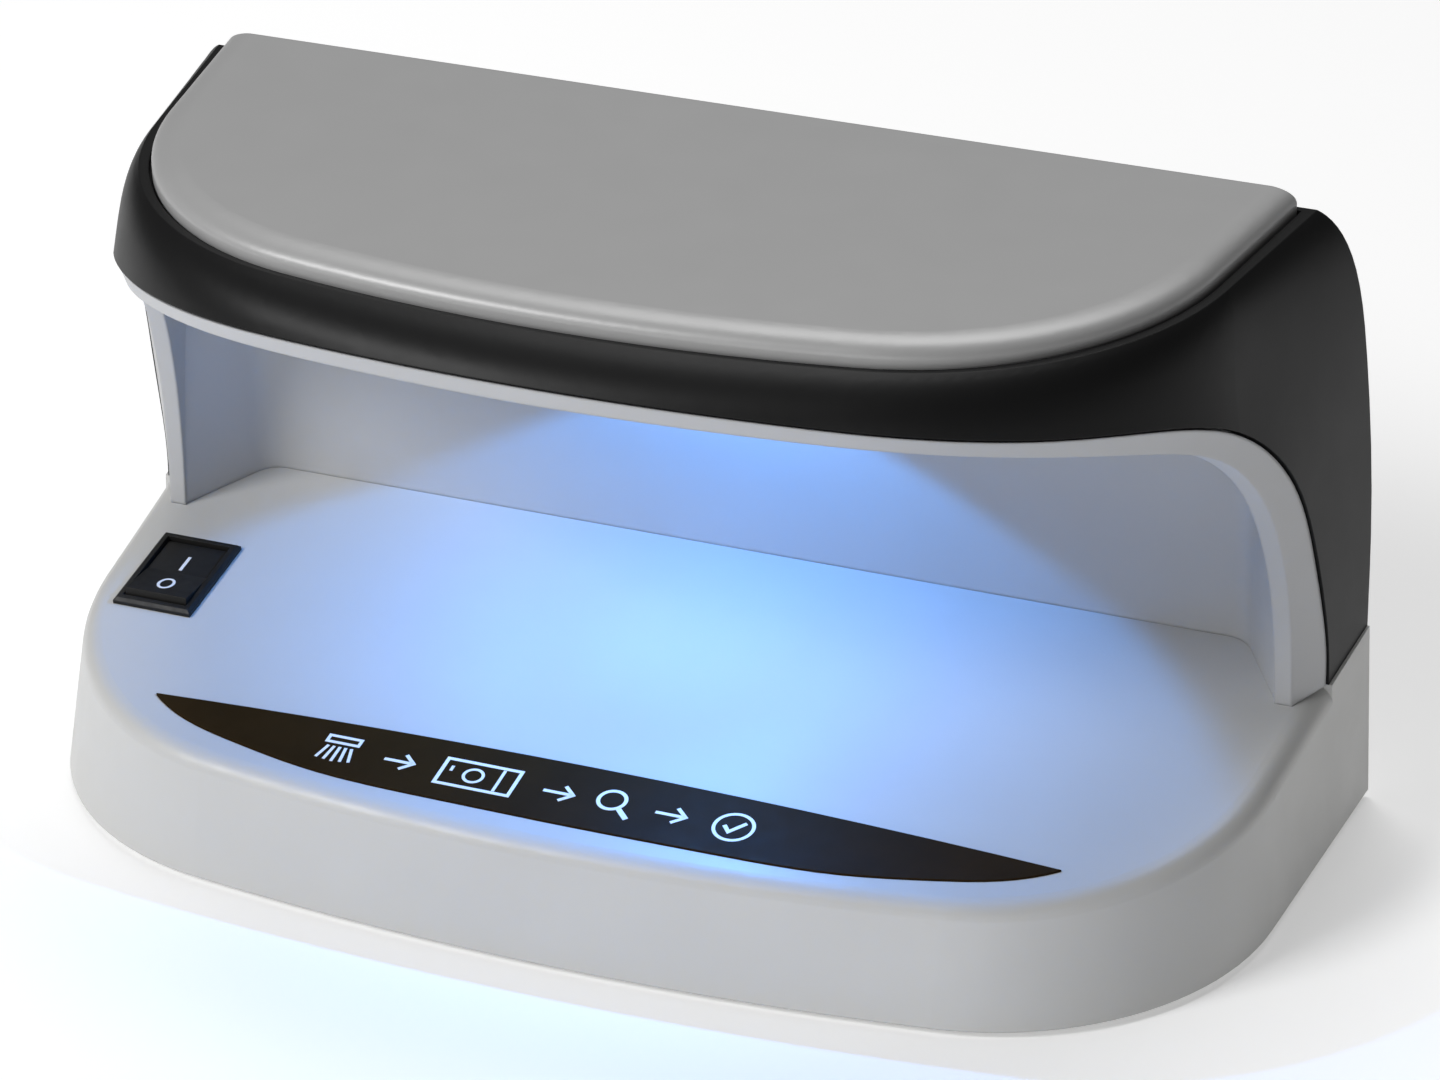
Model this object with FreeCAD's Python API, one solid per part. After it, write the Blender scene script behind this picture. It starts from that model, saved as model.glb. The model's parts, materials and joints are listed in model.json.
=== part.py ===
"""Counterfeit bill detector: counter-top ultraviolet note viewer, built as separate parts.

Frame: X to the right, Y from the customer's front edge towards the back, Z up, table at Z = 0.
All lengths in millimetres.
"""
import FreeCAD, Part
import math
import os

os.makedirs("parts", exist_ok=True)
V = FreeCAD.Vector

# ------------------------------------------------------------------ driving dimensions
FOOT_STANDOUT = 1.2          # rubber feet below the base
PLATFORM_MID = 23.7          # height of the viewing platform at Y = 0
PLATFORM_RISE = 0.14         # the platform climbs towards the back wall
PLATFORM_TILT = math.degrees(math.atan(PLATFORM_RISE))
BACK_Y = 44.75               # back face of base and hood
BASE_WALL = 2.4
BASE_EDGE_ROUND = 3.5
HOOD_FOOT_Y = 29.2           # the hood's side panels stand on the base behind this line
HOOD_WALL = 2.0
SHELL_GAP = 0.3              # between nested mouldings
LINER_INSET = HOOD_WALL + SHELL_GAP
LINER_WALL = 2.0
FLANGE_DEPTH = 3.6           # thickness of the arch flange of the liner
CHAMBER_BACK_Y = 36.3
CHAMBER_BACK_X = 82.0
CHAMBER_FRONT_X = 91.2
CHAMBER_FRONT_Y = 22.4
FRAME_INSET = 0.15           # the arch frame is all but flush with the hood
BEAD_INSET_FOOT = 3.3        # where its sloping flank meets the bead, at the feet
BEAD_INSET_FRONT = 1.7       # and under the visor
FLANK_STEPS = 15             # sections of the flank from each foot to the middle of the visor
ROOF_Z = 86.0
SEAT_Z = 98.2                # ledge of the hood that carries the top cover
COVER_SHOULDER_Z = 100.7      # where the lid's sloping border begins
COVER_TOP_Z = 102.9
COVER_BORDER = 4.4           # width of that border
COVER_WALL = 2.0
FLOOR_T = 2.0                # bottom plate
PART_Z = FOOT_STANDOUT + FLOOR_T

# D-shaped sections: height, front apex Y, half width at Y = 0, half width at the back,
# back Y, radius of the front arc, radius of the front corners
BASE_SECTIONS = [
    (FOOT_STANDOUT, -44.75, 97.6, 99.7, BACK_Y, 430.0, 44.5),
    (31.2, -35.2, 94.9, 98.8, BACK_Y, 430.0, 42.0),
]
HOOD_SECTIONS = [
    (20.0, -50.0, 94.9, 98.6, BACK_Y, 230.0, 50.0),
    (36.0, -49.0, 94.1, 98.5, BACK_Y, 223.0, 51.0),
    (52.0, -48.0, 92.9, 98.3, BACK_Y, 215.0, 52.0),
    (73.0, -45.5, 89.9, 97.0, 44.6, 200.0, 55.0),
    (87.0, -42.8, 86.6, 95.4, 44.0, 190.0, 57.0),
    (95.0, -40.4, 85.2, 92.9, 43.2, 200.0, 56.0),
    (99.4, -33.4, 83.2, 89.2, 41.6, 245.0, 49.0),
]
COVER_SECTION = (-32.0, 81.3, 86.6, 40.0, 245.0, 48.0)

# Side view (Y, Z) of the arch openings, from the pillar foot up and forward to the visor
HOOD_ARCH = [(29.2, 30.0), (27.8, 40.5), (24.8, 52.1), (20.1, 65.1), (10.3, 77.2), (-6.1, 86.0),
             (-21.8, 89.9), (-42.0, 94.8)]
LINER_ARCH = [(22.6, 30.0), (22.0, 42.0), (18.6, 56.5), (13.0, 67.4), (4.0, 76.4), (-10.0, 83.0),
              (-24.0, 87.2), (-42.0, 91.9)]

SWITCH_X, SWITCH_Y = -83.4, 5.1
BEZEL_W, BEZEL_L, BEZEL_T = 13.4, 18.6, 1.1
SWITCH_BODY_W, SWITCH_BODY_L, SWITCH_BODY_D = 12.2, 17.2, 12.0
ROCKER_W = 10.6
ROCKER_R = 7.85              # end faces of the rocker, about its pivot
ROCKER_TIP_Y = 7.45          # upper edges of the rocker, either side of its pivot
ROCKER_PIVOT_Z = -1.3
ROCKER_HALF_TRAVEL = 6.0
BLADE_HALF_TRAVEL = 4.0
BLADE_Z = -7.55

FEET = [(80.0, -13.0), (-80.0, -13.0), (60.0, 34.5), (-60.0, 34.5)]
BASE_SCREWS = [(66.0, -25.0), (-66.0, -25.0), (78.0, 34.5), (-78.0, 34.5)]
HOOD_SCREWS = [(90.2, 37.2), (-90.2, 37.2)]
LINER_SCREWS = [(40.0, 39.7), (-40.0, 39.7)]
COVER_PEGS = [(50.0, -22.5), (-50.0, -22.5), (79.0, 35.6), (-79.0, 35.6)]
HARNESS_X, HARNESS_Y = 10.0, 40.4
JACK_X, JACK_Z = 62.0, 12.5
BOARD_X, BOARD_Y = 8.0, 6.0
BOARD_W, BOARD_L, BOARD_T = 60.0, 34.0, 1.6
BOARD_Z = 8.2
LED_Y = 2.0
LED_XS = [-12.0, 0.0, 12.0]


# ------------------------------------------------------------------ helpers
def save(shape, name):
    shape.exportStep("parts/%s.step" % name)


def platform_z(y):
    return PLATFORM_MID + PLATFORM_RISE * y


def on_platform(shape, x, y):
    """Stand a shape modelled about its own origin square on the sloping platform."""
    placed = Part.Compound([shape])
    placed.rotate(V(0, 0, 0), V(1, 0, 0), PLATFORM_TILT)
    placed.translate(V(x, y, platform_z(y)))
    return placed.SubShapes[0]


def moved(shape, x, y, z):
    placed = shape.copy()
    placed.translate(V(x, y, z))
    return placed


def flipped(shape, x, y, z):
    placed = shape.copy()
    placed.Placement = FreeCAD.Placement(V(x, y, z), FreeCAD.Rotation(V(1, 0, 0), 180))
    return placed


def box(x0, x1, y0, y1, z0, z1):
    return Part.makeBox(x1 - x0, y1 - y0, z1 - z0, V(x0, y0, z0))


def cylinder(radius, z0, z1, x=0.0, y=0.0):
    return Part.makeCylinder(radius, z1 - z0, V(x, y, z0))


def fuse_all(shapes):
    return shapes[0].fuse(shapes[1:]).removeSplitter()


def side_prism(edges, half=130.0):
    """Solid across the full width from a closed outline drawn in the Y-Z plane."""
    face = Part.Face(Part.Wire(edges))
    return face.extrude(V(2 * half, 0, 0)).removeSplitter()


def yz(y, z, x=-130.0):
    return V(x, y, z)


def yz_polygon(points):
    corners = [yz(*p) for p in points]
    return side_prism(Part.makePolygon(corners + corners[:1]).Edges)


def above_platform(lift=0.0):
    return yz_polygon([(-90, platform_z(-90) + lift), (90, platform_z(90) + lift), (90, 220), (-90, 220)])


def arch_spline(curve, back=0.0, up=0.0):
    spline = Part.BSplineCurve()
    spline.interpolate(Points=[yz(y + back, z + up) for y, z in curve],
                       InitialTangent=V(0, 0, 1), FinalTangent=V(0, -4, 1))
    return spline


def below_arch(curve, back=0.0, up=0.0):
    """Everything in front of and below an arch line, optionally moved back and up."""
    spline = arch_spline(curve, back, up)
    start, end = spline.StartPoint, spline.EndPoint
    corners = [end, yz(-110, end.z), yz(-110, -20), yz(start.y, -20), start]
    lines = [Part.makeLine(a, b) for a, b in zip(corners, corners[1:])]
    return side_prism([spline.toShape()] + lines)


def d_outline(z, front, side, back, y_back, r_front, r_corner, inset=0.0):
    """D-shaped wire: straight back, flared sides, rounded front corners and a bowed front."""
    slant = math.hypot(back - side, y_back)
    nx, ny = y_back / slant, -(back - side) / slant
    reach = nx * side - inset
    big, small = r_front - inset, r_corner - inset
    cy = front + r_front
    wx, wy = nx * (reach - small), ny * (reach - small) - cy
    along = -wx * ny + wy * nx
    step = -along - math.sqrt(along ** 2 - (wx ** 2 + wy ** 2) + (big - small) ** 2)
    kx, ky = nx * (reach - small) - ny * step, ny * (reach - small) + nx * step
    ux, uy = kx / (big - small), (ky - cy) / (big - small)
    mid = math.hypot(nx + ux, ny + uy)
    yb = y_back - inset
    right = [
        ((reach - ny * yb) / nx, yb),
        (kx + small * nx, ky + small * ny),
        (kx + small * (nx + ux) / mid, ky + small * (ny + uy) / mid),
        (big * ux, cy + big * uy),
    ]
    corner, side_end, bend, bow_end = [V(x, y, z) for x, y in right]
    l_corner, l_side, l_bend, l_bow = [V(-x, y, z) for x, y in right]
    return Part.Wire([
        Part.makeLine(l_corner, corner),
        Part.makeLine(corner, side_end),
        Part.Arc(side_end, bend, bow_end).toShape(),
        Part.Arc(bow_end, V(0, front + inset, z), l_bow).toShape(),
        Part.Arc(l_bow, l_bend, l_side).toShape(),
        Part.makeLine(l_side, l_corner),
    ])


def d_loft(sections, inset=0.0):
    return Part.makeLoft([d_outline(*section, inset=inset) for section in sections], True, False)


def d_prism(section, z0, z1, inset=0.0):
    return Part.Face(d_outline(z0, *section, inset=inset)).extrude(V(0, 0, z1 - z0))


def edges_where(shape, test):
    return [e for e in shape.Edges if all(test(e.valueAt(t)) for t in spread(e))]


def spread(edge):
    first, last = edge.ParameterRange
    return [first + (last - first) * k / 4.0 for k in range(5)]


def rounded_path(points, radius):
    """Polyline with its corners replaced by arcs."""
    edges = []
    start = points[0]
    for before, here, after in zip(points, points[1:], points[2:]):
        d0 = (before - here).normalize()
        d1 = (after - here).normalize()
        half = d0.getAngle(d1) / 2.0
        cut = radius / math.tan(half)
        a, b = here + d0 * cut, here + d1 * cut
        centre = here + (d0 + d1).normalize() * (radius / math.sin(half))
        edges.append(Part.makeLine(start, a))
        edges.append(Part.Arc(a, centre + (here - centre).normalize() * radius, b).toShape())
        start = b
    edges.append(Part.makeLine(start, points[-1]))
    return Part.Wire(edges)


def wire_pair(points, radius=0.55, bend=2.4):
    """Two insulated wires side by side along the same route."""
    path = rounded_path([V(*p) for p in points], bend)
    start = path.Edges[0]
    circle = Part.Wire(Part.makeCircle(radius, start.valueAt(start.FirstParameter),
                                       start.tangentAt(start.FirstParameter)))
    wire = path.makePipeShell([circle], True, False)
    step = 0.45
    return Part.Compound([moved(wire, step * k, step * k, step * k) for k in (-1, 1)])


def pan_screw(length, shank_r, head_r, head_h):
    """Pan-head screw pointing up from Z = 0, head below, with a cross recess."""
    screw = cylinder(shank_r, 0, length - shank_r).fuse(
        Part.makeCone(shank_r, 0.3 * shank_r, shank_r, V(0, 0, length - shank_r)))
    head = cylinder(head_r, -head_h, 0)
    head = head.makeFillet(0.4 * head_h, edges_where(head, lambda p: p.z < -head_h + 0.01))
    for x, y in ((0.14 * head_r, 0.7 * head_r), (0.7 * head_r, 0.14 * head_r)):
        head = head.cut(box(-x, x, -y, y, -head_h - 1, -0.55 * head_h))
    return screw.fuse(head).removeSplitter()


# ------------------------------------------------------------------ base
def base_section(z):
    """Section of the straight-drafted base at any height."""
    low, high = BASE_SECTIONS
    part = (z - low[0]) / (high[0] - low[0])
    return tuple(a + (b - a) * part for a, b in zip(low, high))


def make_base_shell():
    body = d_loft(BASE_SECTIONS).cut(above_platform())
    rim = edges_where(body, lambda p: abs(p.z - platform_z(p.y)) < 0.02 and p.y < BACK_Y + 0.01)
    rim = [e for e in rim if min(e.Vertexes[0].Y, e.Vertexes[1].Y) < BACK_Y - 1]
    soft = body.makeFillet(BASE_EDGE_ROUND, rim)
    pedestal = body.common(box(-130, 130, HOOD_FOOT_Y, 90, 0, 60))
    soft = soft.fuse(pedestal)
    cavity = d_loft([base_section(FOOT_STANDOUT - 2.0), BASE_SECTIONS[1]], BASE_WALL)
    soft = soft.cut(cavity.cut(above_platform(-BASE_WALL)))
    posts = []
    for x, y in BASE_SCREWS:
        posts.append(cylinder(3.6, PART_Z + 1.8, 40, x, y).cut(above_platform(-1.0)))
    shell = soft.fuse(posts)
    for x, y in BASE_SCREWS:
        shell = shell.cut(cylinder(1.55, 0, PART_Z + 10, x, y))
    shell = shell.cut(on_platform(box(-SWITCH_BODY_W / 2 - 0.1, SWITCH_BODY_W / 2 + 0.1,
                                      -SWITCH_BODY_L / 2 - 0.1, SWITCH_BODY_L / 2 + 0.1, -6, 6),
                                  SWITCH_X, SWITCH_Y))
    for x, y in HOOD_SCREWS:
        shell = shell.cut(on_platform(cylinder(1.65, -6, 6), x, y))
    for x, y in LINER_SCREWS:
        shell = shell.cut(on_platform(cylinder(1.35, -6, 6), x, y))
    shell = shell.cut(cylinder(2.0, 10, 60, HARNESS_X, HARNESS_Y))
    shell = shell.cut(Part.makeCylinder(4.1, 8, V(JACK_X, BACK_Y - 5, JACK_Z), V(0, 1, 0)))
    shell = shell.cut(label_blank(-0.4, 3.0, 0.15))
    return shell.removeSplitter()


def label_blank(low, high, grow=0.0):
    """Crescent that follows the front edge of the platform."""
    tip_x, tip_y, front_y, back_y = 73.0 + grow, -23.0, -34.1 - grow, -20.6 + grow
    left, right = V(-tip_x, tip_y, 0), V(tip_x, tip_y, 0)
    nose = Part.BSplineCurve()
    side = [(66.5, -27.0), (56.0, -30.2), (43.0, -32.8), (22.0, -33.9)]
    row = [V(x, y - grow, 0) for x, y in side]
    row = [right] + row + [V(0, front_y, 0)] + [V(-p.x, p.y, 0) for p in reversed(row)] + [left]
    nose.interpolate(row)
    back = Part.Arc(left, V(0, back_y, 0), right).toShape()
    prism = Part.Face(Part.Wire([nose.toShape(), back])).extrude(V(0, 0, 60))
    return prism.common(above_platform(low).cut(above_platform(high)))


def make_bottom_plate():
    inset = BASE_WALL + SHELL_GAP
    plate = d_loft(BASE_SECTIONS, inset).common(box(-130, 130, -90, 90, FOOT_STANDOUT, PART_Z))
    pads = [cylinder(4.6, PART_Z - 0.5, PART_Z + 1.8, x, y) for x, y in BASE_SCREWS]
    pads += [cylinder(2.6, PART_Z - 0.5, BOARD_Z, *p) for p in board_corners()]
    pads.append(box(JACK_X - 5, JACK_X + 5, BACK_Y - 15, BACK_Y - 3.5, PART_Z - 0.5, JACK_Z - 5.5))
    plate = plate.fuse(pads)
    for x, y in BASE_SCREWS:
        plate = plate.cut(cylinder(3.1, 0, PART_Z, x, y))
        plate = plate.cut(cylinder(1.65, 0, 10, x, y))
    for x, y in FEET:
        plate = plate.cut(cylinder(6.15, 0, FOOT_STANDOUT + 0.8, x, y))
    for x, y in board_corners():
        plate = plate.cut(cylinder(1.05, PART_Z, 12, x, y))
    for k in range(-3, 4):
        slot = box(k * 6.0 - 1.2, k * 6.0 + 1.2, -26, -14, 0, 10)
        plate = plate.cut(slot)
    return plate.removeSplitter()


def board_corners():
    dx, dy = BOARD_W / 2 - 4, BOARD_L / 2 - 4
    return [(BOARD_X + sx * dx, BOARD_Y + sy * dy) for sx in (-1, 1) for sy in (-1, 1)]


def make_feet():
    pads = []
    for x, y in FEET:
        pad = cylinder(6.0, 0, FOOT_STANDOUT + 0.8, x, y)
        pads.append(pad.makeFillet(0.5, edges_where(pad, lambda p: p.z < 0.01)))
    return Part.Compound(pads)


# ------------------------------------------------------------------ hood, liner and cover
def make_hood():
    outer = d_loft(HOOD_SECTIONS)
    inner = d_loft(HOOD_SECTIONS, HOOD_WALL).common(box(-130, 130, -90, 90, 0, SEAT_Z - 2.0))
    hood = outer.cut(inner)
    hood = hood.cut(d_prism(COVER_SECTION, SEAT_Z, 120, -0.5))
    hood = hood.cut(d_prism(COVER_SECTION, 80, 120, 8.0))
    bosses = []
    for x, y in HOOD_SCREWS:
        sign = 1 if x > 0 else -1
        post = on_platform(cylinder(3.3, 0, 16), x, y)
        ribs = box(-0.8, 0.8, 0, 9, 0, 15).fuse(box(min(0, 9 * sign), max(0, 9 * sign), -0.8, 0.8, 0, 15))
        bosses.append(post.fuse(on_platform(ribs, x, y)).common(outer))
    hood = hood.fuse(bosses)
    hood = hood.cut(below_arch(HOOD_ARCH))
    hood = hood.common(above_platform())
    for x, y in HOOD_SCREWS:
        hood = hood.cut(on_platform(cylinder(1.55, -1, 11), x, y))
    for x, y in COVER_PEGS:
        hood = hood.cut(cylinder(2.15, 90, 110, x, y))
    return hood.removeSplitter()


def chamber_plan(grow=0.0):
    """Plan of the viewing chamber: slanting cheeks and a straight back wall."""
    back = CHAMBER_BACK_Y + grow
    points = [(-140, -100), (-140, CHAMBER_FRONT_Y - 4), (-CHAMBER_FRONT_X - grow, CHAMBER_FRONT_Y - 4),
              (-CHAMBER_FRONT_X - grow, CHAMBER_FRONT_Y + grow), (-CHAMBER_BACK_X - grow, back)]
    points += [(-x, y) for x, y in reversed(points)]
    corners = [V(x, y, 10) for x, y in points]
    plan = Part.Face(Part.makePolygon(corners + corners[:1])).extrude(V(0, 0, 110))
    corner_edges = edges_where(plan, lambda p: abs(abs(p.x) - CHAMBER_BACK_X - grow) < 0.01
                               and abs(p.y - back) < 0.01)
    return plan.makeFillet(5.0 + grow, corner_edges)


def under_roof(lift=0.0):
    z = ROOF_Z + lift
    return yz_polygon([(-80, z + 18.0), (-8, z), (60, z), (60, 0), (-80, 0)])


def arch_on_shell(curve, inset, forward=0.0):
    """Evenly spaced points where an arch line crosses the hood's shape, foot to foot over the visor."""
    spline = arch_spline(curve, -forward, -forward)
    foot = spline.StartPoint
    line = Part.Wire([Part.makeLine(yz(foot.y, 16.0), foot), spline.toShape()])
    crossing = line.extrude(V(260, 0, 0)).section(d_loft(HOOD_SECTIONS, inset))
    arch = [e for e in crossing.Edges if e.BoundBox.ZMax > HOOD_SECTIONS[0][0] + 1]
    points = Part.Wire(Part.__sortEdges__(arch)).discretize(2 * FLANK_STEPS + 1)
    return points if points[0].x > 0 else points[::-1]


def flank_cutter():
    """Wedge that slopes the arch frame from flush with the hood down to its narrow bead."""
    hood_line = arch_on_shell(HOOD_ARCH, FRAME_INSET)
    bead_foot = arch_on_shell(LINER_ARCH, BEAD_INSET_FOOT)
    bead_front = arch_on_shell(LINER_ARCH, BEAD_INSET_FRONT)
    outside = arch_on_shell(LINER_ARCH, -1.5, 1.0)
    wires = []
    for k, (a, low, high, c) in enumerate(zip(hood_line, bead_foot, bead_front, outside)):
        towards_front = 1.0 - abs(k - FLANK_STEPS) / FLANK_STEPS
        b = low + (high - low) * towards_front
        reach = (a - b) * 0.1
        wires.append(Part.makePolygon([a + reach, b - reach, c, a + reach]))
    return Part.makeLoft(wires, True, False)


def make_liner():
    outer = d_loft(HOOD_SECTIONS, LINER_INSET)
    void = d_loft(HOOD_SECTIONS, LINER_INSET + FLANGE_DEPTH).common(chamber_plan()).common(under_roof())
    skin = d_loft(HOOD_SECTIONS, LINER_INSET + FLANGE_DEPTH - LINER_WALL)
    skin = skin.common(chamber_plan(LINER_WALL)).common(under_roof(LINER_WALL))
    flange = outer.common(below_arch(LINER_ARCH, 7.0, 3.9))
    frame = d_loft(HOOD_SECTIONS, FRAME_INSET).common(below_arch(HOOD_ARCH, -SHELL_GAP, -SHELL_GAP))
    liner = fuse_all([skin, flange, frame]).cut(void)
    for x, y in LINER_SCREWS:
        boss = on_platform(cylinder(2.1, 0, 14), x, y)
        liner = liner.fuse(boss.cut(void))
    liner = liner.cut(below_arch(LINER_ARCH)).cut(flank_cutter())
    liner = liner.common(above_platform())
    liner = liner.common(box(-130, 130, -90, 60, 0, SEAT_Z - 2.0 - SHELL_GAP))
    for x, y in LINER_SCREWS:
        liner = liner.cut(on_platform(cylinder(1.3, -1, 10), x, y))
    liner = liner.cut(box(-21, 21, LED_Y - 6, LED_Y + 6, 60, 120))
    liner = liner.cut(box(-22.2, 22.2, LED_Y - 7.2, LED_Y + 7.2, ROOF_Z + 1.0, 120))
    for sign in (-1, 1):
        post = cylinder(2.6, ROOF_Z + 1, LED_BOARD_Z, sign * LED_SCREW_X, LED_Y)
        liner = liner.fuse(post).cut(cylinder(1.05, ROOF_Z + 1.2, LED_BOARD_Z + 1, sign * LED_SCREW_X, LED_Y))
    return liner.removeSplitter()


def make_cover():
    """Lid with a rounded border along its sides and front; its back edge is plain."""
    shoulder = Part.Face(d_outline(SEAT_Z, *COVER_SECTION)).extrude(V(0, 0, COVER_SHOULDER_Z - SEAT_Z))
    front, side, back, y_back, r_front, r_corner = COVER_SECTION
    flare = (back - side) * COVER_BORDER / y_back
    beyond = (front, side, back + flare, y_back + COVER_BORDER, r_front, r_corner)
    rings = []
    for degrees in (0.0, 25.0, 50.0, 70.0, 90.0):
        rise = (COVER_TOP_Z - COVER_SHOULDER_Z) * math.sin(math.radians(degrees))
        inset = COVER_BORDER * (1.0 - math.cos(math.radians(degrees)))
        rings.append(d_outline(COVER_SHOULDER_Z + rise, *beyond, inset=inset))
    border = Part.makeLoft(rings, True, False).common(box(-130, 130, -90, y_back, 0, 200))
    cover = shoulder.fuse(border).removeSplitter()
    cover = cover.cut(d_prism(COVER_SECTION, SEAT_Z - 1, COVER_SHOULDER_Z - 0.6, COVER_WALL + 0.8))
    for x, y in COVER_PEGS:
        cover = cover.fuse(cylinder(2.0, SEAT_Z - 2.05, COVER_SHOULDER_Z, x, y))
    return cover.removeSplitter()


# ------------------------------------------------------------------ ultraviolet lamp in the roof
WINDOW_T = 1.2
REFLECTOR_H = 4.6
LED_BOARD_Z = ROOF_Z + 1.0 + WINDOW_T + REFLECTOR_H
LED_BOARD_T = 1.0
LED_SCREW_X = 25.5


def make_window():
    return box(-22.0, 22.0, LED_Y - 7.0, LED_Y + 7.0, ROOF_Z + 1.0, ROOF_Z + 1.0 + WINDOW_T)


def make_reflector():
    z0, z1 = ROOF_Z + 1.0 + WINDOW_T, LED_BOARD_Z
    trough = box(-22.0, 22.0, LED_Y - 7.0, LED_Y + 7.0, z0, z1)
    for x in LED_XS:
        cup = Part.makeCone(5.4, 3.4, REFLECTOR_H + 0.02, V(x, LED_Y, z0 - 0.01))
        trough = trough.cut(cup)
    return trough


def make_led_board():
    board = box(-30.0, 30.0, LED_Y - 6.5, LED_Y + 6.5, LED_BOARD_Z, LED_BOARD_Z + LED_BOARD_T)
    corners = edges_where(board, lambda p: abs(abs(p.x) - 30.0) < 0.01 and abs(abs(p.y - LED_Y) - 6.5) < 0.01)
    board = board.makeFillet(1.5, corners)
    for sign in (-1, 1):
        board = board.cut(cylinder(1.1, 80, 120, sign * LED_SCREW_X, LED_Y))
    return board


def make_led_emitters():
    emitters = []
    for x in LED_XS:
        body = box(x - 1.75, x + 1.75, LED_Y - 1.75, LED_Y + 1.75, LED_BOARD_Z - 0.8, LED_BOARD_Z)
        dome = Part.makeSphere(1.5, V(x, LED_Y, LED_BOARD_Z - 0.8), V(0, 0, 1), -90, 0, 360)
        emitters.append(body.fuse(dome).removeSplitter())
    return Part.Compound(emitters)


def make_led_connector():
    z = LED_BOARD_Z + LED_BOARD_T
    shell = box(HARNESS_X - 3.5, HARNESS_X + 3.5, LED_Y + 0.5, LED_Y + 6.0, z, z + 3.6)
    return shell.cut(box(HARNESS_X - 2.6, HARNESS_X + 2.6, LED_Y + 1.5, LED_Y + 7.0, z + 0.8, z + 3.0))


# ------------------------------------------------------------------ rocker switch, about its own origin
def turned(shape, degrees, z):
    """Rotate a switch part about the cross axis at height z."""
    placed = shape.copy()
    placed.rotate(V(0, 0, z), V(1, 0, 0), degrees)
    return placed


def make_switch_housing():
    frame = box(-BEZEL_W / 2, BEZEL_W / 2, -BEZEL_L / 2, BEZEL_L / 2, 0, BEZEL_T)
    frame = frame.makeChamfer(0.5, edges_where(frame, lambda p: p.z > BEZEL_T - 0.01))
    body = box(-SWITCH_BODY_W / 2, SWITCH_BODY_W / 2, -SWITCH_BODY_L / 2, SWITCH_BODY_L / 2, -SWITCH_BODY_D, 0)
    housing = frame.fuse(body)
    pocket = ROCKER_W / 2 + 0.2
    housing = housing.cut(box(-pocket, pocket, -8.0, 8.0, -10.0, 10.0))
    housing = housing.cut(Part.makeCylinder(1.25, 20, V(-10, 0, ROCKER_PIVOT_Z), V(1, 0, 0)))
    housing = housing.fuse([box(-SWITCH_BODY_W / 2, -SWITCH_BODY_W / 2 + 0.3, -3, 3, -4, 0),
                            box(SWITCH_BODY_W / 2 - 0.3, SWITCH_BODY_W / 2, -3, 3, -4, 0)])
    for y in TERMINAL_YS:
        housing = housing.cut(box(-2.45, 2.45, y - 0.45, y + 0.45, -20, -9))
    return housing.removeSplitter()


def make_rocker():
    end_z = ROCKER_PIVOT_Z + math.sqrt(ROCKER_R ** 2 - ROCKER_TIP_Y ** 2)
    low_z = ROCKER_PIVOT_Z - 2.3
    low_y = math.sqrt(ROCKER_R ** 2 - (low_z - ROCKER_PIVOT_Z) ** 2)
    x = -ROCKER_W / 2
    valley, front, rear = V(x, 0, ROCKER_PIVOT_Z + 1.8), V(x, -ROCKER_TIP_Y, end_z), V(x, ROCKER_TIP_Y, end_z)
    front_low, rear_low = V(x, -low_y, low_z), V(x, low_y, low_z)
    outline = Part.Wire([
        Part.makeLine(front, valley),
        Part.makeLine(valley, rear),
        Part.Arc(rear, V(x, ROCKER_R, ROCKER_PIVOT_Z), rear_low).toShape(),
        Part.makeLine(rear_low, front_low),
        Part.Arc(front_low, V(x, -ROCKER_R, ROCKER_PIVOT_Z), front).toShape(),
    ])
    rocker = Part.Face(outline).extrude(V(ROCKER_W, 0, 0))
    rocker = rocker.fuse(Part.makeCylinder(1.2, ROCKER_W + 0.8, V(x - 0.4, 0, ROCKER_PIVOT_Z), V(1, 0, 0)))
    return rocker.cut(cylinder(1.15, ROCKER_PIVOT_Z - 3.0, ROCKER_PIVOT_Z + 0.8)).removeSplitter()


def make_plunger():
    tip_z = ROCKER_PIVOT_Z - 6.0
    stem = cylinder(1.05, tip_z + 1.05, ROCKER_PIVOT_Z - 2.0)
    return stem.fuse(Part.makeSphere(1.05, V(0, 0, tip_z + 1.05), V(0, 0, 1), -90, 0, 360)).removeSplitter()


def make_rocker_spring():
    wire_r, coil_r, height, pitch = 0.22, 0.82, 2.1, 0.7
    helix = Part.makeHelix(pitch, height, coil_r)
    start = helix.Edges[0]
    circle = Part.Wire(Part.makeCircle(wire_r, start.valueAt(start.FirstParameter),
                                       start.tangentAt(start.FirstParameter)))
    coil = helix.makePipeShell([circle], True, True)
    coil.translate(V(0, 0, ROCKER_PIVOT_Z - 1.7))
    return coil


TERMINAL_YS = [0.0, -5.2]


def make_contact_blade():
    return box(-1.6, 1.6, -6.0, 2.4, BLADE_Z - 0.2, BLADE_Z + 0.2)


def make_terminals():
    tops = [BLADE_Z - 0.28, BLADE_Z - 0.2 - 5.2 * math.tan(math.radians(BLADE_HALF_TRAVEL)) - 0.12]
    blades = []
    for y, top in zip(TERMINAL_YS, tops):
        blade = box(-2.4, 2.4, y - 0.4, y + 0.4, -17.0, top)
        blades.append(blade.cut(Part.makeCylinder(0.8, 3, V(0, y - 1.5, -15.0), V(0, 1, 0))))
    return blades


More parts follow.
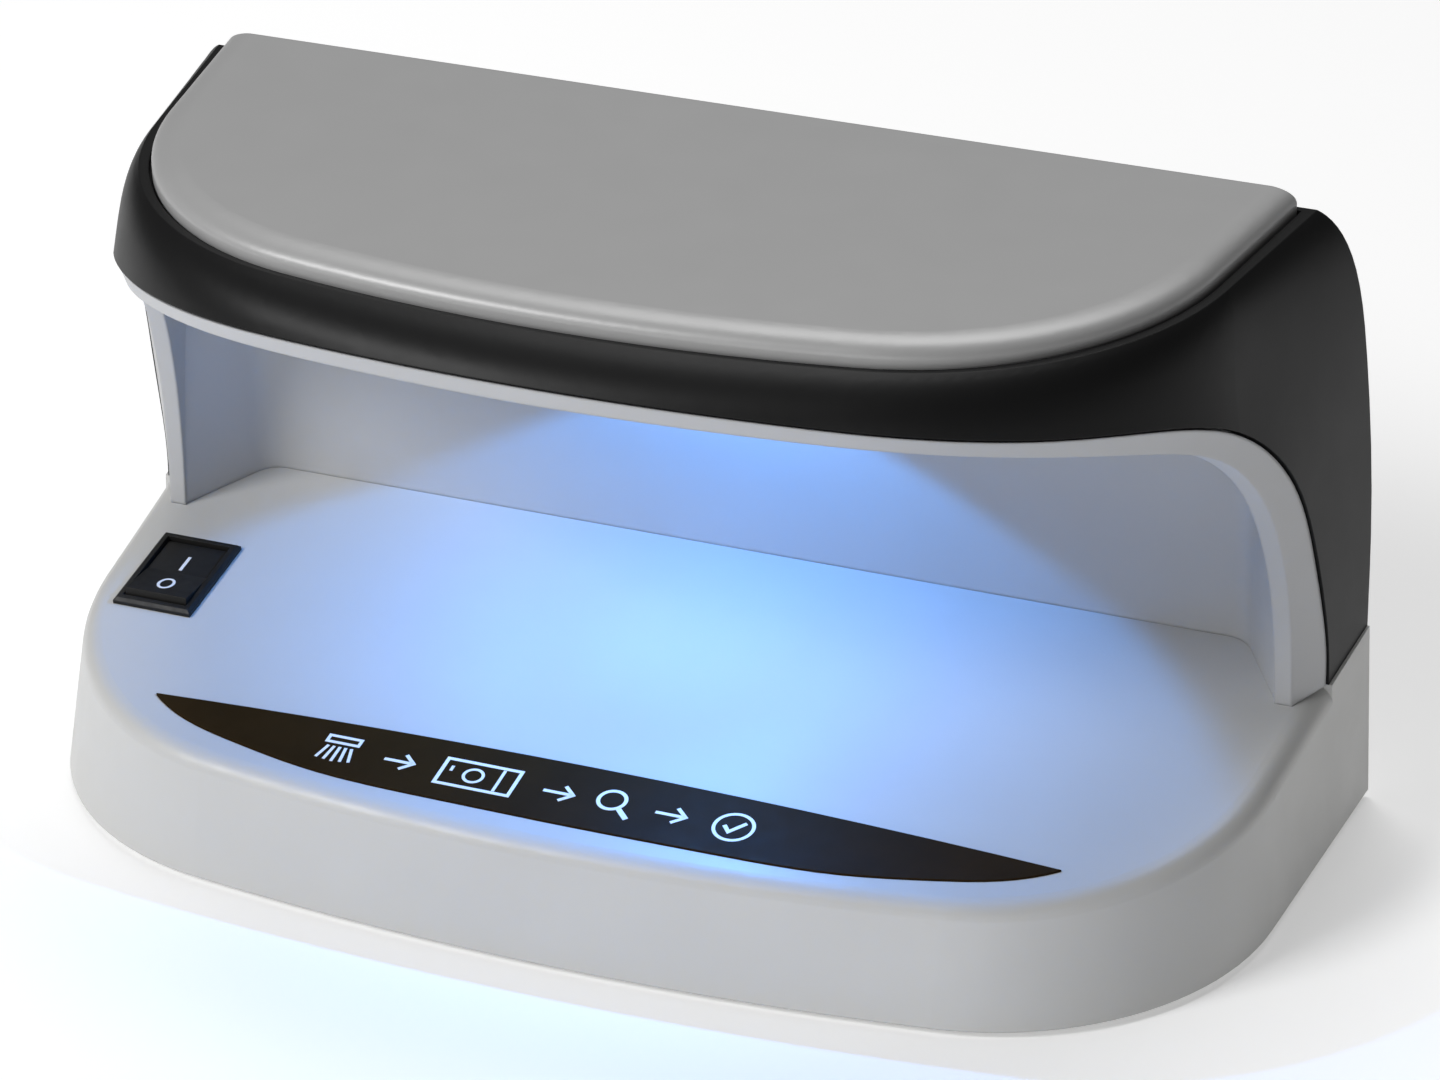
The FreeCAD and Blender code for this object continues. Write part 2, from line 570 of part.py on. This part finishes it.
# ------------------------------------------------------------------ power inlet, driver board, wiring
def make_jack():
    body = box(JACK_X - 4.5, JACK_X + 4.5, BACK_Y - 14.5, BACK_Y - BASE_WALL - 0.1, JACK_Z - 5.5, JACK_Z + 5.5)
    nose = Part.makeCylinder(4.0, 4.0, V(JACK_X, BACK_Y - 4.2, JACK_Z), V(0, 1, 0))
    jack = body.fuse(nose)
    jack = jack.cut(Part.makeCylinder(2.8, 9.0, V(JACK_X, BACK_Y - 9.2, JACK_Z), V(0, 1, 0)))
    return jack.cut(Part.makeCylinder(1.02, 5, V(JACK_X, BACK_Y - 11.2, JACK_Z), V(0, 1, 0))).removeSplitter()


def make_jack_pin():
    shaft = Part.makeCylinder(1.0, 9.6, V(JACK_X, BACK_Y - 11.0, JACK_Z), V(0, 1, 0))
    return shaft.makeFillet(0.6, edges_where(shaft, lambda p: p.y > BACK_Y - 1.41))


def make_driver_board():
    board = box(BOARD_X - BOARD_W / 2, BOARD_X + BOARD_W / 2, BOARD_Y - BOARD_L / 2, BOARD_Y + BOARD_L / 2,
                BOARD_Z, BOARD_Z + BOARD_T)
    for x, y in board_corners():
        board = board.cut(cylinder(1.1, 0, 20, x, y))
    return board


def make_capacitor():
    z = BOARD_Z + BOARD_T
    can = cylinder(4.0, z, z + 8.0, BOARD_X + 12, BOARD_Y + 2)
    return can.makeFillet(0.6, edges_where(can, lambda p: p.z > z + 7.99))


def make_inductor():
    z = BOARD_Z + BOARD_T
    x, y = BOARD_X + 1, BOARD_Y + 3
    base = box(x - 4, x + 4, y - 4, y + 4, z, z + 1.0)
    return base.fuse([cylinder(2.6, z + 1, z + 3.4, x, y), cylinder(3.6, z + 3.4, z + 4.4, x, y)]).removeSplitter()


def make_driver_chip():
    z = BOARD_Z + BOARD_T
    return box(BOARD_X - 10.5, BOARD_X - 5.5, BOARD_Y - 2, BOARD_Y + 2, z, z + 1.5)


HEADERS = [(-22.0, 4.0), (22.0, 8.0), (2.0, 12.5)]


def make_headers():
    z = BOARD_Z + BOARD_T
    sockets = []
    for dx, dy in HEADERS:
        x, y = BOARD_X + dx, BOARD_Y + dy
        shell = box(x - 3.5, x + 3.5, y - 2.7, y + 2.7, z, z + 5.5)
        sockets.append(shell.cut(box(x - 2.7, x + 2.7, y - 1.9, y + 1.9, z + 1.0, z + 6)))
    return Part.Compound(sockets)


def header_mouth(k):
    dx, dy = HEADERS[k]
    return BOARD_X + dx, BOARD_Y + dy, BOARD_Z + BOARD_T + 1.5


def make_lamp_harness():
    x, y, z = header_mouth(2)
    top = LED_BOARD_Z + LED_BOARD_T
    return wire_pair([(x, y, z), (x, y, z + 8), (HARNESS_X, HARNESS_Y, z + 8), (HARNESS_X, HARNESS_Y, top - 1.0),
                      (HARNESS_X, LED_Y + 20, top - 1.0), (HARNESS_X, LED_Y + 12, top + 1.9),
                      (HARNESS_X, LED_Y + 2.2, top + 1.9)])


def make_switch_harness():
    x, y, z = header_mouth(0)
    return wire_pair([(x, y, z), (x, y, z + 7.5), (-60.0, 8.0, z + 7.5), (-60.0, 8.0, 8.0), (-80.2, 2.6, 8.0)])


def make_jack_harness():
    x, y, z = header_mouth(1)
    return wire_pair([(x, y, z), (x, y, z + 7.5), (JACK_X, y, z + 7.5), (JACK_X, BACK_Y - 15.4, JACK_Z)])


# ------------------------------------------------------------------ write every part
def main():
    save(make_base_shell(), "base_shell")
    save(make_bottom_plate(), "bottom_plate")
    save(make_feet(), "rubber_feet")
    save(make_hood(), "hood")
    save(make_liner(), "chamber_liner")
    save(make_cover(), "top_cover")
    save(label_blank(-0.4, 0.25), "label_plate")

    base_screw = pan_screw(9.0, 1.5, 2.8, 1.7)
    save(Part.Compound([moved(base_screw, x, y, PART_Z) for x, y in BASE_SCREWS]), "base_screws")
    under = -BASE_WALL * math.cos(math.radians(PLATFORM_TILT))
    hood_screw = moved(pan_screw(9.0, 1.5, 2.8, 1.7), 0, 0, under)
    save(Part.Compound([on_platform(hood_screw, x, y) for x, y in HOOD_SCREWS]), "hood_screws")
    liner_screw = moved(pan_screw(9.0, 1.25, 1.9, 1.4), 0, 0, under)
    save(Part.Compound([on_platform(liner_screw, x, y) for x, y in LINER_SCREWS]), "liner_screws")

    save(make_window(), "lamp_window")
    save(make_reflector(), "lamp_reflector")
    save(make_led_board(), "led_board")
    save(make_led_emitters(), "led_emitters")
    save(make_led_connector(), "led_connector")
    led_screw = pan_screw(4.0, 1.0, 1.9, 1.2)
    led_z = LED_BOARD_Z + LED_BOARD_T
    save(Part.Compound([flipped(led_screw, sign * LED_SCREW_X, LED_Y, led_z) for sign in (-1, 1)]),
         "led_board_screws")

    save(make_driver_board(), "driver_board")
    save(make_capacitor(), "driver_capacitor")
    save(make_inductor(), "driver_inductor")
    save(make_driver_chip(), "driver_chip")
    save(make_headers(), "board_headers")
    board_screw = pan_screw(4.5, 1.0, 1.9, 1.2)
    save(Part.Compound([flipped(board_screw, x, y, BOARD_Z + BOARD_T) for x, y in board_corners()]),
         "board_screws")
    save(make_jack(), "power_inlet")
    save(make_jack_pin(), "power_inlet_pin")
    save(make_lamp_harness(), "lamp_harness")
    save(make_switch_harness(), "switch_harness")
    save(make_jack_harness(), "inlet_harness")

    switch_parts = {
        "switch_housing": make_switch_housing(),
        "switch_rocker": turned(make_rocker(), -ROCKER_HALF_TRAVEL, ROCKER_PIVOT_Z),
        "switch_plunger": turned(make_plunger(), -ROCKER_HALF_TRAVEL, ROCKER_PIVOT_Z),
        "switch_spring": turned(make_rocker_spring(), -ROCKER_HALF_TRAVEL, ROCKER_PIVOT_Z),
        "switch_contact": turned(make_contact_blade(), BLADE_HALF_TRAVEL, BLADE_Z),
        "switch_terminals": Part.Compound(make_terminals()),
    }
    for name, shape in switch_parts.items():
        save(on_platform(shape, SWITCH_X, SWITCH_Y), name)


main()
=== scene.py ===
"""Looks of the counter-top ultraviolet note viewer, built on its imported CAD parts. Lengths in metres."""

import json
import math

import bpy
from mathutils import Euler, Matrix, Vector


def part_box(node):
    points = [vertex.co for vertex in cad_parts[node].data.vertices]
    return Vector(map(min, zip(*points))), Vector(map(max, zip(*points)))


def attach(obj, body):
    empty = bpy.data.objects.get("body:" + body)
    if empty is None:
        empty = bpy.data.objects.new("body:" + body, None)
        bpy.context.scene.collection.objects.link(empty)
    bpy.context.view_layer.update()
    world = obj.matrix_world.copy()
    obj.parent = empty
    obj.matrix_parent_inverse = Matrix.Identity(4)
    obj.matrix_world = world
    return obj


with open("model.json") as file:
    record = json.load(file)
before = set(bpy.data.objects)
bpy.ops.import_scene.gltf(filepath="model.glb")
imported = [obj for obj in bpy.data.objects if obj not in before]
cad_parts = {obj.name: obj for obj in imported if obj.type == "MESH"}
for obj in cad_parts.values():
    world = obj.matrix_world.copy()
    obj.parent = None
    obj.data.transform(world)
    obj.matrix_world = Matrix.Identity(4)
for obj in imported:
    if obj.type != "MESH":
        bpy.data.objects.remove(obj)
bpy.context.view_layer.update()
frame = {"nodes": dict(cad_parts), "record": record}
nodes = frame["nodes"]
MM = 0.001

# Dimensions shared with the CAD source
PLATFORM_MID, PLATFORM_RISE = 23.7 * MM, 0.14
SWITCH_X, SWITCH_Y = -83.4 * MM, 5.1 * MM
ROCKER_PIVOT_Z, ROCKER_VALLEY_Z = -1.3 * MM, 0.5 * MM
ROCKER_TIP_Y, ROCKER_TIP_Z = 7.45 * MM, 1.174 * MM
ROCKER_HALF_TRAVEL = math.radians(6.0)
LABEL_LIFT = 0.25 * MM

# Dimensions of the print and of the lit lamp
PRINT_THICKNESS = 0.04 * MM
LABEL_PRINT_Y = -27.6 * MM
LAMP_Y = 8.0 * MM


# ------------------------------------------------------------------ materials
class Surface:
    """A Principled material whose detail comes from object-space noise, sized in millimetres."""

    def __init__(self, name, colour, roughness, metallic=0.0):
        self.mat = bpy.data.materials.new(name)
        self.mat.use_nodes = True
        self.tree = self.mat.node_tree
        self.shader = self.tree.nodes["Principled BSDF"]
        self.colour = colour
        self.shader.inputs["Base Color"].default_value = (*colour, 1.0)
        self.shader.inputs["Roughness"].default_value = roughness
        self.shader.inputs["Metallic"].default_value = metallic
        self.roughness = roughness
        self.coords = self.node("ShaderNodeTexCoord")

    def node(self, kind, **inputs):
        made = self.tree.nodes.new(kind)
        for key, value in inputs.items():
            made.inputs[key].default_value = value
        return made

    def link(self, source, target):
        self.tree.links.new(source, target)

    def noise(self, size_mm, detail=3.0):
        """Noise whose blobs are about size_mm across."""
        noise = self.node("ShaderNodeTexNoise", Scale=1.0 / (size_mm * MM), Detail=detail,
                          Roughness=0.55)
        self.link(self.coords.outputs["Object"], noise.inputs["Vector"])
        return noise.outputs["Fac"]

    def remap(self, value, low, high):
        """Spread the middle of a noise's range over low to high."""
        ramp = self.node("ShaderNodeMapRange")
        for key, limit in (("From Min", 0.3), ("From Max", 0.7), ("To Min", low), ("To Max", high)):
            ramp.inputs[key].default_value = limit
        self.link(value, ramp.inputs["Value"])
        return ramp.outputs["Result"]

    def blend_colours(self, factor, a, b):
        mix = self.node("ShaderNodeMix")
        mix.data_type = "RGBA"
        mix.inputs["A"].default_value = (*a, 1.0)
        mix.inputs["B"].default_value = (*b, 1.0)
        self.link(factor, mix.inputs["Factor"])
        return mix.outputs["Result"]

    def tint(self, size_mm, amount):
        """Slight lighter and darker areas in the colour."""
        dark = tuple(c * (1.0 - amount) for c in self.colour)
        light = tuple(min(1.0, c * (1.0 + amount)) for c in self.colour)
        factor = self.remap(self.noise(size_mm), 0.0, 1.0)
        self.link(self.blend_colours(factor, dark, light), self.shader.inputs["Base Color"])
        return self

    def uneven_gloss(self, size_mm, amount):
        """Slightly shinier and duller areas."""
        rough = self.remap(self.noise(size_mm, 4.0), self.roughness - amount, self.roughness + amount)
        self.link(rough, self.shader.inputs["Roughness"])
        return self

    def texture(self, size_mm, height_mm, edge_mm=0.25):
        """Fine moulded grain on top of slightly rounded edges."""
        bevel = self.node("ShaderNodeBevel", Radius=edge_mm * MM)
        bevel.samples = 4
        bump = self.node("ShaderNodeBump", Strength=1.0, Distance=height_mm * MM)
        self.link(self.noise(size_mm, 2.0), bump.inputs["Height"])
        self.link(bevel.outputs["Normal"], bump.inputs["Normal"])
        self.link(bump.outputs["Normal"], self.shader.inputs["Normal"])
        return self


def make_materials():
    base = Surface("base_plastic_look", (0.57, 0.57, 0.56), 0.42)
    base.tint(28.0, 0.02).uneven_gloss(6.0, 0.05).texture(0.45, 0.006)
    plate = Surface("plate_look", (0.035, 0.035, 0.036), 0.55)
    plate.tint(12.0, 0.12).uneven_gloss(4.0, 0.08).texture(0.5, 0.02)
    hood = Surface("hood_look", (0.008, 0.008, 0.0082), 0.44)
    hood.shader.inputs["Specular IOR Level"].default_value = 0.18
    hood.tint(20.0, 0.04).uneven_gloss(9.0, 0.015).texture(0.4, 0.004)
    liner = Surface("liner_look", (0.45, 0.455, 0.465), 0.45)
    liner.tint(22.0, 0.02).uneven_gloss(6.0, 0.05).texture(0.45, 0.006, 0.7)
    cover = Surface("cover_look", (0.40, 0.40, 0.40), 0.44, 0.2)
    cover.tint(30.0, 0.008).uneven_gloss(8.0, 0.012).texture(0.3, 0.004, 0.4)
    label = Surface("label_look", (0.026, 0.014, 0.004), 0.5)
    label.shader.inputs["Specular IOR Level"].default_value = 0.06
    label.tint(9.0, 0.10).uneven_gloss(3.0, 0.05).texture(0.35, 0.003, 0.1)
    rubber = Surface("rubber_look", (0.022, 0.022, 0.023), 0.78)
    rubber.tint(3.0, 0.2).uneven_gloss(1.5, 0.08).texture(0.25, 0.03, 0.2)
    steel = Surface("screw_look", (0.56, 0.56, 0.54), 0.34, 1.0)
    steel.tint(1.2, 0.12).uneven_gloss(0.6, 0.1).texture(0.2, 0.006, 0.1)
    mirror = Surface("reflector_look", (0.86, 0.87, 0.9), 0.12, 1.0)
    mirror.tint(4.0, 0.03).uneven_gloss(1.5, 0.05).texture(0.8, 0.006, 0.1)
    board = Surface("board_look", (0.016, 0.11, 0.045), 0.35)
    board.tint(2.2, 0.25).uneven_gloss(1.0, 0.08).texture(0.3, 0.01, 0.1)
    white = Surface("connector_look", (0.68, 0.66, 0.6), 0.45)
    white.tint(2.5, 0.05).uneven_gloss(1.0, 0.06).texture(0.25, 0.008, 0.15)
    can = Surface("can_look", (0.66, 0.66, 0.67), 0.3, 1.0)
    can.tint(1.5, 0.06).uneven_gloss(0.8, 0.08).texture(0.15, 0.004, 0.2)
    ferrite = Surface("ferrite_look", (0.05, 0.05, 0.055), 0.6)
    ferrite.tint(0.8, 0.25).uneven_gloss(0.5, 0.1).texture(0.15, 0.02, 0.1)
    chip = Surface("chip_look", (0.018, 0.018, 0.02), 0.55)
    chip.tint(1.0, 0.2).uneven_gloss(0.6, 0.08).texture(0.12, 0.01, 0.1)
    inlet = Surface("inlet_look", (0.018, 0.018, 0.018), 0.4)
    inlet.tint(3.0, 0.15).uneven_gloss(1.2, 0.06).texture(0.25, 0.008, 0.15)
    pin = Surface("pin_look", (0.74, 0.72, 0.66), 0.22, 1.0)
    pin.tint(0.8, 0.08).uneven_gloss(0.5, 0.06).texture(0.12, 0.002, 0.1)
    wire = Surface("wire_look", (0.36, 0.02, 0.016), 0.48)
    wire.tint(2.0, 0.12).uneven_gloss(1.2, 0.08).texture(0.2, 0.008, 0.1)
    switch = Surface("switch_look", (0.014, 0.0135, 0.013), 0.45)
    switch.shader.inputs["Specular IOR Level"].default_value = 0.2
    switch.tint(4.0, 0.12).uneven_gloss(1.5, 0.06).texture(0.22, 0.006, 0.2)
    nylon = Surface("plunger_look", (0.7, 0.68, 0.62), 0.42)
    nylon.tint(1.0, 0.05).uneven_gloss(0.6, 0.06).texture(0.2, 0.005, 0.1)
    brass = Surface("contact_look", (0.62, 0.45, 0.2), 0.3, 1.0)
    brass.tint(1.0, 0.12).uneven_gloss(0.6, 0.08).texture(0.15, 0.004, 0.1)
    print_white = Surface("print_look", (0.9, 0.9, 0.89), 0.45)
    print_white.tint(0.8, 0.03).uneven_gloss(0.6, 0.08).texture(0.15, 0.003, 0.05)
    return {
        "base_plastic": base, "plate_black": plate, "hood_black": hood, "liner_grey": liner,
        "cover_grey": cover, "label_film": label, "foot_rubber": rubber, "screw_steel": steel,
        "reflector_metal": mirror,
        "circuit_board": board, "connector_white": white, "can_aluminium": can, "ferrite": ferrite,
        "chip_black": chip, "inlet_black": inlet, "pin_plated": pin, "wire_insulation": wire,
        "switch_black": switch, "plunger_nylon": nylon, "spring_steel": steel, "contact_brass": brass,
        "print_white": print_white,
    }


def make_lamp_glass():
    """Clear window in the chamber's roof."""
    glass = Surface("lamp_glass_look", (0.75, 0.82, 0.95), 0.1)
    glass.uneven_gloss(3.0, 0.04).texture(0.6, 0.003, 0.1)
    glass.shader.inputs["Transmission Weight"].default_value = 1.0
    glass.shader.inputs["IOR"].default_value = 1.46
    return glass


def make_emitter():
    """Lit face of the ultraviolet diodes."""
    emitter = Surface("emitter_look", (0.5, 0.6, 1.0), 0.2)
    emitter.tint(0.8, 0.1).uneven_gloss(0.6, 0.06).texture(0.3, 0.004, 0.05)
    emitter.shader.inputs["Emission Color"].default_value = (0.16, 0.36, 1.0, 1.0)
    emitter.shader.inputs["Emission Strength"].default_value = 12.0
    return emitter


looks = make_materials()
looks["lamp_glass"] = make_lamp_glass()
looks["emitter"] = make_emitter()
slot_of = {row["node"]: row["material_slot"] for row in frame["record"]["subparts"]}
for name, node in nodes.items():
    for material_slot in node.material_slots:
        material_slot.material = looks[slot_of[name]].mat


# ------------------------------------------------------------------ printed marks
def ribbon(points, width, closed=False):
    """Flat band of quads along a polyline, mitred at its corners."""
    count = len(points)
    left, right = [], []
    for k, here in enumerate(points):
        before = points[k - 1] if closed or k > 0 else here
        after = points[(k + 1) % count] if closed or k < count - 1 else here
        a = (here - before).normalized() if before is not here else (after - here).normalized()
        b = (after - here).normalized() if after is not here else a
        normal_a, normal_b = Vector((-a.y, a.x)), Vector((-b.y, b.x))
        mitre = (normal_a + normal_b).normalized()
        reach = width / 2 / max(0.4, mitre.dot(normal_a))
        left.append(here + mitre * reach)
        right.append(here - mitre * reach)
    steps = count if closed else count - 1
    quads = [(k, (k + 1) % count, count + (k + 1) % count, count + k) for k in range(steps)]
    return left + right, quads


def ring(x, y, radius, stretch=1.0, steps=40):
    """Closed circle of points, or an upright oval when stretched."""
    angles = [2.0 * math.pi * k / steps for k in range(steps)]
    return [Vector((x + radius * math.cos(t), y + radius * stretch * math.sin(t))) for t in angles]


def print_piece(name, strokes, place, body):
    """Thin raised print made of strokes (points in mm, width in mm, closed), laid on a plane."""
    vertices, faces = [], []
    for points, width, closed in strokes:
        corners, quads = ribbon(points, width, closed)
        faces += [tuple(len(vertices) + k for k in quad) for quad in quads]
        vertices += [(p.x * MM, p.y * MM, 0.0) for p in corners]
    mesh = bpy.data.meshes.new(name)
    mesh.from_pydata(vertices, [], faces)
    piece = bpy.data.objects.new(name, mesh)
    bpy.context.scene.collection.objects.link(piece)
    mesh.transform(place)
    mesh.materials.append(looks["print_white"].mat)
    solid = piece.modifiers.new("thickness", "SOLIDIFY")
    solid.thickness = PRINT_THICKNESS
    solid.offset = 0.0
    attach(piece, body)


def path(*points):
    return [Vector(p) for p in points]


# Pictograms for the label, in millimetres about x on its centre line
def lamp_icon(x):
    """A lamp with rays falling below it."""
    strokes = [(path((x - 2.6, 1.5), (x - 2.6, 2.9), (x + 2.6, 2.9), (x + 2.6, 1.5)), 0.55, True)]
    for k in (-2, -1, 0, 1, 2):
        foot = 1.35 * k
        strokes.append((path((x + 0.95 * k, 0.6), (x + foot, -2.9 + 0.2 * abs(k))), 0.5, False))
    return strokes


def note_icon(x):
    """A blank note with a round window and a security strip."""
    outline = path((x - 6.0, -2.9), (x + 6.0, -2.9), (x + 6.0, 2.9), (x - 6.0, 2.9))
    return [
        (outline, 0.6, True),
        (ring(x - 0.8, 0.0, 1.5), 0.5, True),
        (path((x + 3.4, -2.5), (x + 3.4, 2.5)), 0.5, False),
        (path((x - 4.6, 1.4), (x - 4.6, 0.2)), 0.5, False),
    ]


def magnifier_icon(x):
    return [
        (ring(x - 0.6, 0.7, 2.1), 0.6, True),
        (path((x + 1.0, -0.9), (x + 3.0, -2.9)), 0.85, False),
    ]


def arrow_icon(x):
    return [
        (path((x - 2.4, 0.0), (x + 2.2, 0.0)), 0.6, False),
        (path((x + 0.6, 1.7), (x + 2.4, 0.0), (x + 0.6, -1.7)), 0.6, False),
    ]


def tick_icon(x):
    return [
        (ring(x, 0.0, 3.0), 0.55, True),
        (path((x - 1.5, 0.1), (x - 0.4, -1.2), (x + 1.6, 1.3)), 0.65, False),
    ]


def on_platform(x, y, lift):
    """Plane parallel to the sloping platform, a little above it."""
    tilt = Matrix.Rotation(math.atan(PLATFORM_RISE), 4, "X")
    return Matrix.Translation((x, y, PLATFORM_MID + PLATFORM_RISE * y + lift)) @ tilt


label_strokes = lamp_icon(-40.0) + arrow_icon(-30.0) + note_icon(-17.0) + arrow_icon(-4.0)
label_strokes += magnifier_icon(5.0) + arrow_icon(14.0) + tick_icon(24.0)
print_piece("label_pictograms", label_strokes, on_platform(0.0, LABEL_PRINT_Y, LABEL_LIFT), "unit")


def on_rocker(side):
    """Plane on one half of the rocker's dished top at rest; side is 1 for the rear half."""
    slope = math.atan2(ROCKER_TIP_Z - ROCKER_VALLEY_Z, ROCKER_TIP_Y)
    face = Matrix.Translation((0, 0, ROCKER_VALLEY_Z)) @ Matrix.Rotation(side * slope, 4, "X")
    pivot = Matrix.Translation((0, 0, ROCKER_PIVOT_Z))
    rest = pivot @ Matrix.Rotation(-ROCKER_HALF_TRAVEL, 4, "X") @ pivot.inverted()
    return on_platform(SWITCH_X, SWITCH_Y, 0.0) @ rest @ face


print_piece("switch_mark_on", [(path((0.0, 0.7), (0.0, 4.4)), 0.55, False)], on_rocker(1), "rocker")
print_piece("switch_mark_off", [(ring(0.0, -4.0, 1.15, 1.35), 0.48, True)], on_rocker(-1), "rocker")


# ------------------------------------------------------------------ stage
def make_floor():
    """White studio table, lit a little from below."""
    mesh = bpy.data.meshes.new("floor")
    mesh.from_pydata([(-6, -6, 0), (6, -6, 0), (6, 6, 0), (-6, 6, 0)], [], [(0, 1, 2, 3)])
    floor = bpy.data.objects.new("floor", mesh)
    bpy.context.scene.collection.objects.link(floor)
    look = Surface("floor_look", (0.86, 0.86, 0.86), 0.8)
    look.tint(400.0, 0.01)
    look.shader.inputs["Emission Color"].default_value = (1.0, 1.0, 1.0, 1.0)
    look.shader.inputs["Emission Strength"].default_value = 0.30
    mesh.materials.append(look.mat)


def area_light(name, location, target, size, watts, colour=(1.0, 1.0, 1.0)):
    data = bpy.data.lights.new(name, "AREA")
    data.shape = "RECTANGLE"
    data.size, data.size_y = size
    data.energy = watts
    data.color = colour
    light = bpy.data.objects.new(name, data)
    bpy.context.scene.collection.objects.link(light)
    light.location = location
    light.rotation_euler = (Vector(target) - Vector(location)).to_track_quat("-Z", "Y").to_euler()
    return light


def lamp_light(name, watts, degrees, tilt, blend, colour):
    """The ultraviolet lamp's visible light, thrown down and a little forward from the roof window."""
    data = bpy.data.lights.new(name, "SPOT")
    data.energy = watts
    data.color = colour
    data.spot_size = math.radians(degrees)
    data.spot_blend = blend
    data.shadow_soft_size = 1.5 * MM
    light = bpy.data.objects.new(name, data)
    bpy.context.scene.collection.objects.link(light)
    light.location = (0.0, LAMP_Y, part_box("lamp_window")[0].z - 0.6 * MM)
    light.rotation_euler = Euler((math.radians(tilt), 0.0, 0.0))


def make_camera():
    """View from the front, 22.7 degrees round to the right and 28.8 degrees above."""
    azimuth, elevation, roll = math.radians(22.73), math.radians(28.77), math.radians(-1.29)
    data = bpy.data.cameras.new("camera")
    data.sensor_width, data.lens = 36.0, 138.07
    data.clip_start, data.clip_end = 0.05, 20.0
    camera = bpy.data.objects.new("camera", data)
    bpy.context.scene.collection.objects.link(camera)
    aim = Euler((math.pi / 2 - elevation, 0.0, azimuth)).to_matrix().to_4x4()
    place = Matrix.Translation((0.28876, -0.66234, 0.44568))
    camera.matrix_world = place @ aim @ Matrix.Rotation(roll, 4, "Z")
    bpy.context.scene.camera = camera


make_floor()
area_light("key", (-0.76, -0.86, 0.88), (0, 0, 0.05), (0.5, 0.4), 12.4)
area_light("front", (0.05, -1.4, 0.2), (0, 0, 0.03), (0.8, 0.3), 2.4)
area_light("back", (-0.1, 0.55, 1.2), (0, 0, 0.05), (0.9, 0.6), 8.5)
lamp_light("lamp_glow", 0.60, 116.0, -12.0, 0.12, (0.08, 0.35, 1.0))
make_camera()

world = bpy.data.worlds.new("studio")
world.use_nodes = True
world.node_tree.nodes["Background"].inputs["Color"].default_value = (1.0, 1.0, 1.0, 1.0)
world.node_tree.nodes["Background"].inputs["Strength"].default_value = 0.05
bpy.context.scene.world = world
bpy.context.scene.view_settings.view_transform = "Standard"
